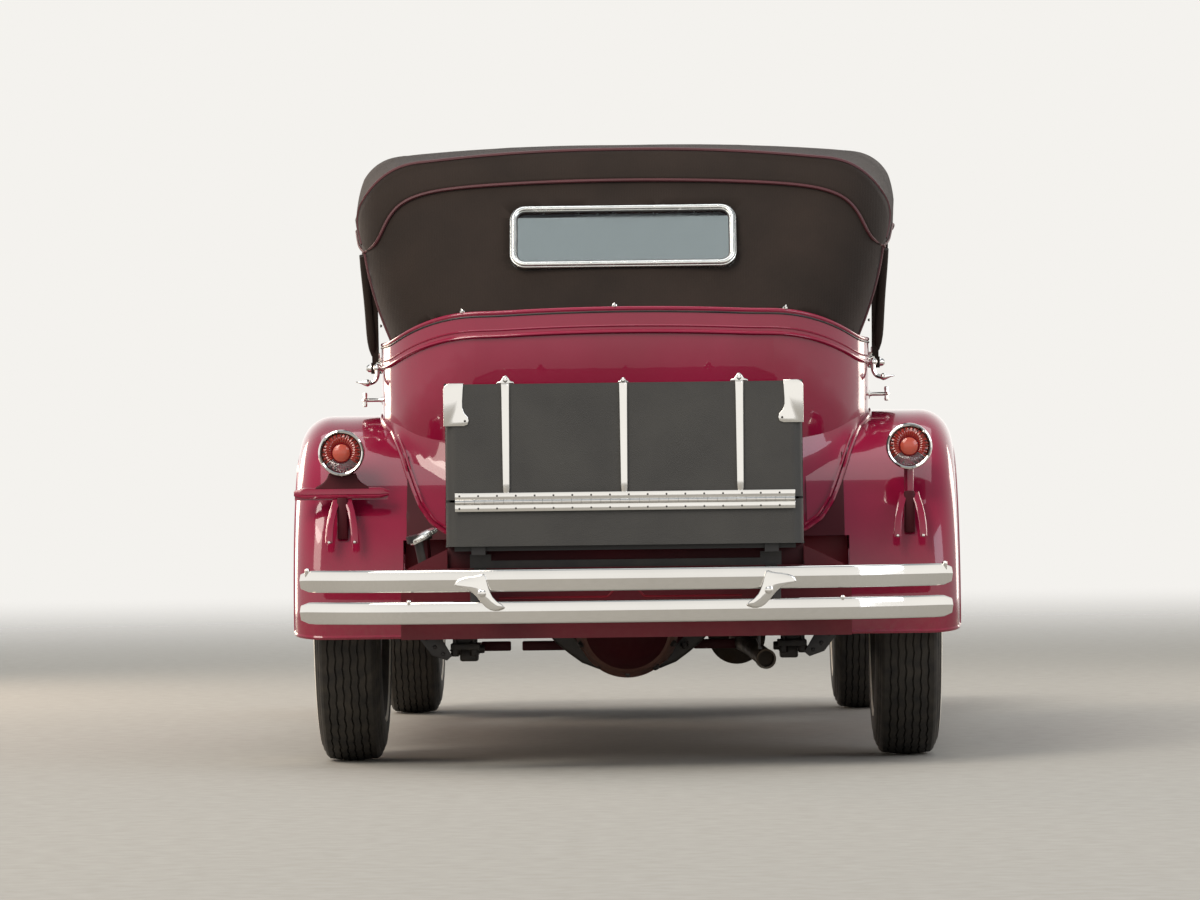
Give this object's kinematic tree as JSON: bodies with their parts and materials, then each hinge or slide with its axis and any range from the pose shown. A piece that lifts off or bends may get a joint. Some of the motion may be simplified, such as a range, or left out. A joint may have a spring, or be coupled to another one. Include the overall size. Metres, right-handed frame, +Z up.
{
  "type": "touring car",
  "caption": "Open four-door touring car of the late 1920s with its cloth top up, wooden-spoked wheels, twin-bar bumpers and a drop-front luggage trunk on the rear rack.",
  "frame": {"origin": "on the ground, midway between the front and rear bumper faces and between the two sides", "axes": "+Y to the front of the car, +X to its right-hand side, +Z up"},
  "size_m": [1.76, 4.9699, 1.7149],
  "materials": {
    "body_paint": "gloss",
    "wheel_paint": "gloss",
    "chassis_paint": "satin",
    "engine_iron": "matte",
    "spring_steel": "satin",
    "exhaust_steel": "matte",
    "bright_plate": "polished",
    "core_metal": "matte",
    "dash_wood": "gloss",
    "floor_boards": "matte",
    "bow_wood": "satin",
    "seat_leather": "satin",
    "clear_glass": "polished",
    "red_glass": "polished",
    "top_cloth": "matte",
    "trunk_cover": "satin",
    "wheel_rim_black": "gloss",
    "tyre_rubber": "matte"
  },
  "bodies": {
    "chassis": {"chassis_frame": "chassis_paint", "engine_block": "engine_iron", "rear_axle": "chassis_paint", "front_axle": "chassis_paint", "leaf_springs": "spring_steel", "fuel_tank": "chassis_paint", "exhaust": "exhaust_steel", "radiator_shell": "bright_plate", "radiator_core": "core_metal", "cowl": "body_paint", "dashboard": "dash_wood", "body_floor": "floor_boards", "body_tub": "body_paint", "engine_side_panels": "body_paint", "rear_apron": "body_paint", "fender_front_left": "body_paint", "fender_front_right": "body_paint", "fender_rear_left": "body_paint", "fender_rear_right": "body_paint", "running_boards": "body_paint", "front_seat": "seat_leather", "rear_seat": "seat_leather", "steering_column": "chassis_paint", "windscreen_frame": "bright_plate", "windscreen_glass": "clear_glass", "top_canopy": "top_cloth", "top_bows": "bow_wood", "rear_window_frame": "bright_plate", "rear_window_glass": "clear_glass", "trunk_body": "trunk_cover", "trunk_rack": "chassis_paint", "rear_bumper": "bright_plate", "front_bumper": "bright_plate", "headlamps": "bright_plate", "headlamp_lenses": "clear_glass", "tail_lamps": "bright_plate", "tail_lamp_lenses": "red_glass", "hood_rod": "bright_plate"},
    "trunk_flap": {"trunk_lid": "trunk_cover"},
    "hood_half_left": {"hood_left": "body_paint"},
    "hood_half_right": {"hood_right": "body_paint"},
    "front_left_door": {"door_front_left": "body_paint"},
    "front_left_wheel": {"wheel_front_left": "wheel_paint", "tyre_front_left": "tyre_rubber"},
    "front_right_door": {"door_front_right": "body_paint"},
    "front_right_wheel": {"wheel_front_right": "wheel_paint", "tyre_front_right": "tyre_rubber"},
    "rear_left_door": {"door_rear_left": "body_paint"},
    "rear_left_wheel": {"wheel_rear_left": "wheel_paint", "tyre_rear_left": "tyre_rubber"},
    "rear_right_door": {"door_rear_right": "body_paint"},
    "rear_right_wheel": {"wheel_rear_right": "wheel_paint", "tyre_rear_right": "tyre_rubber"},
    "steering_handwheel": {"steering_wheel": "wheel_rim_black"},
    "steering_knuckle_left": {"knuckle_left": "chassis_paint"},
    "steering_knuckle_right": {"knuckle_right": "chassis_paint"},
    "steering_tie_rod": {"tie_rod": "chassis_paint"}
  },
  "joints": [
    {"name": "steer_left", "type": "hinge", "parent": "chassis", "child": "steering_knuckle_left", "pos_m": [-0.615, 1.865, 0.419], "axis": [0, 0, 1], "range_deg": [-28, 28]},
    {"name": "steer_right", "type": "hinge", "parent": "chassis", "child": "steering_knuckle_right", "pos_m": [0.615, 1.865, 0.419], "axis": [0, 0, 1], "range_deg": [-28, 28]},
    {"name": "tie_rod_slide", "type": "slide", "parent": "chassis", "child": "steering_tie_rod", "axis": [1, 0, 0], "range_m": [-0.071, 0.071]},
    {"name": "steering_turn", "type": "hinge", "parent": "chassis", "child": "steering_handwheel", "pos_m": [-0.305, 0.12, 1.062], "axis": [0, -0.8703, 0.4926], "range_deg": [-336, 336]},
    {"name": "wheel_front_left_spin", "type": "hinge", "parent": "steering_knuckle_left", "child": "front_left_wheel", "pos_m": [-0.724, 1.865, 0.419], "axis": [1, 0, 0], "continuous": true},
    {"name": "wheel_rear_left_spin", "type": "hinge", "parent": "chassis", "child": "rear_left_wheel", "pos_m": [-0.748, -1.535, 0.419], "axis": [1, 0, 0], "continuous": true},
    {"name": "door_front_left_hinge", "type": "hinge", "parent": "chassis", "child": "front_left_door", "pos_m": [-0.63, -0.278, 0.85], "axis": [0, 0, 1], "range_deg": [0, 70]},
    {"name": "door_rear_left_hinge", "type": "hinge", "parent": "chassis", "child": "rear_left_door", "pos_m": [-0.662, -0.993, 0.85], "axis": [0, 0, 1], "range_deg": [0, 70]},
    {"name": "wheel_front_right_spin", "type": "hinge", "parent": "steering_knuckle_right", "child": "front_right_wheel", "pos_m": [0.724, 1.865, 0.419], "axis": [1, 0, 0], "continuous": true},
    {"name": "wheel_rear_right_spin", "type": "hinge", "parent": "chassis", "child": "rear_right_wheel", "pos_m": [0.748, -1.535, 0.419], "axis": [1, 0, 0], "continuous": true},
    {"name": "door_front_right_hinge", "type": "hinge", "parent": "chassis", "child": "front_right_door", "pos_m": [0.63, -0.278, 0.85], "axis": [0, 0, -1], "range_deg": [0, 70]},
    {"name": "door_rear_right_hinge", "type": "hinge", "parent": "chassis", "child": "rear_right_door", "pos_m": [0.662, -0.993, 0.85], "axis": [0, 0, -1], "range_deg": [0, 70]},
    {"name": "hood_right_hinge", "type": "hinge", "parent": "chassis", "child": "hood_half_right", "pos_m": [0, 0.8253, 1.148], "axis": [0, -0.9992, 0.0393], "range_deg": [0, 60]},
    {"name": "hood_left_hinge", "type": "hinge", "parent": "chassis", "child": "hood_half_left", "pos_m": [0, 0.8253, 1.148], "axis": [0, 0.9992, -0.0393], "range_deg": [0, 60]},
    {"name": "trunk_flap_hinge", "type": "hinge", "parent": "chassis", "child": "trunk_flap", "pos_m": [0, -2.444, 0.7], "axis": [1, 0, 0], "range_deg": [0, 90]}
  ],
  "couplings": [
    {"joint": "steer_right", "follows": "steer_left", "ratio": 1},
    {"joint": "tie_rod_slide", "follows": "steer_left", "m_per_rad": 0.1441},
    {"joint": "steering_turn", "follows": "steer_left", "ratio": 12}
  ]
}
